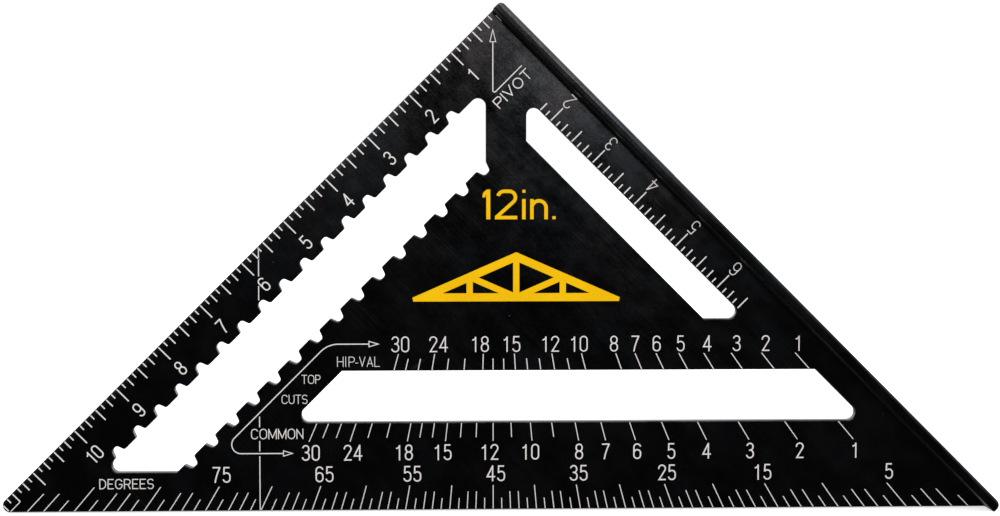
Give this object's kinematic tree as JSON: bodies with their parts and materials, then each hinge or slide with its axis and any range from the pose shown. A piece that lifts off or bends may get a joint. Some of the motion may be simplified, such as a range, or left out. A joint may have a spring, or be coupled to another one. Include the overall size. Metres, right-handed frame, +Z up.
{
  "type": "rafter square",
  "caption": "Triangular aluminium layout square with a T fence, notched scribing window, inch edges and printed degree, hip/valley and common rafter scales.",
  "frame": {"origin": "pivot point: on the printed face, where the inner face of the fence meets the edge of the ruler leg", "axes": "+X along the long edge (hypotenuse) from the ruler tip to the fence end, +Y from the printed face through the blade to the back, +Z up from the long edge to the pivot corner"},
  "size_m": [0.4281, 0.0254, 0.2176],
  "materials": {
    "black_finish": "satin black coating over extruded aluminium",
    "white_print": "matt off-white printed ink",
    "yellow_print": "matt yellow printed ink"
  },
  "bodies": {
    "root": {"square_body": "black_finish", "edge_inch_ticks": "white_print", "edge_inch_numerals": "white_print", "inner_inch_ticks": "white_print", "inner_inch_numerals": "white_print", "degree_ticks": "white_print", "degree_numerals": "white_print", "degrees_word": "white_print", "hip_val_ticks": "white_print", "hip_val_numerals": "white_print", "hip_val_word": "white_print", "common_ticks": "white_print", "common_numerals": "white_print", "common_word": "white_print", "top_cuts_words": "white_print", "scale_leader_arrow": "white_print", "pivot_arrow": "white_print", "pivot_word": "white_print", "guide_line": "white_print", "size_label": "yellow_print", "roof_emblem": "yellow_print"}
  },
  "joints": []
}
